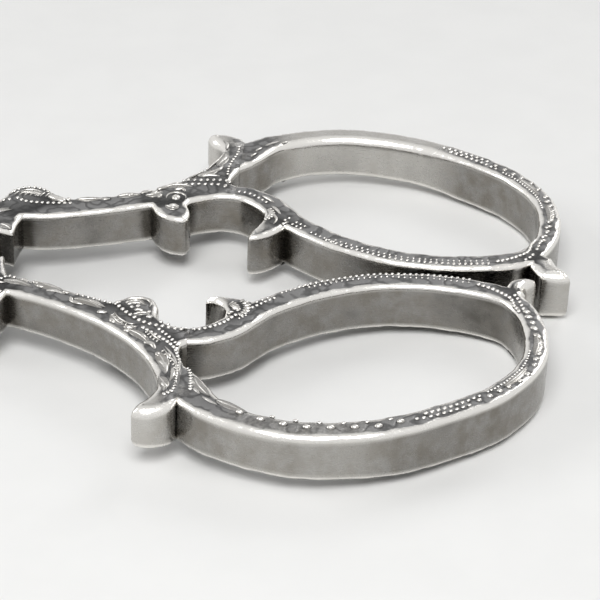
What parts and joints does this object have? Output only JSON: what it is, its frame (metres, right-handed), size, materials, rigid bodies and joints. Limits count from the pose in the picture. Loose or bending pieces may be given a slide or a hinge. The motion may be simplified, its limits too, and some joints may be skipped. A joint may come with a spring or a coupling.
{
  "type": "sugar nips",
  "caption": "Scissor-action sugar nips in cast silver: finger rings on rococo scroll stems, a riveted box hinge, bowed arms and scallop shell grips.",
  "frame": {"origin": "under the middle of the closed nips, at the height of the shells' lower edges", "axes": "+X from the hinge towards the finger rings' tails, +Y towards the far half's ring, +Z along the pivot, out of the chased face that the picture shows"},
  "size_m": [0.1174, 0.0458, 0.0118],
  "materials": {
    "strap_silver": "polished cast silver with fine wear scratches, oxidised in the chasing",
    "hub_silver": "polished silver, engraved rosette, a little duller than the straps",
    "shell_silver": "polished cast silver, oxidised between the flutes",
    "rivet_silver": "filed and worn silver"
  },
  "bodies": {
    "near_half": {"near_ring_bow": "strap_silver", "near_scroll_stem": "strap_silver", "near_upper_hinge_cheek": "hub_silver", "near_lower_hinge_cheek": "hub_silver", "near_grip_arm": "strap_silver", "near_shell_grip": "shell_silver", "pivot_rivet": "rivet_silver"},
    "far_half": {"far_ring_bow": "strap_silver", "far_scroll_stem": "strap_silver", "far_hinge_tongue": "hub_silver", "far_grip_arm": "strap_silver", "far_shell_grip": "shell_silver"}
  },
  "joints": [
    {"name": "pivot_hinge", "type": "hinge", "parent": "near_half", "child": "far_half", "pos_m": [0.00431, 0, 0.0059], "axis": [0, 0, 1], "range_deg": [0, 38]}
  ]
}
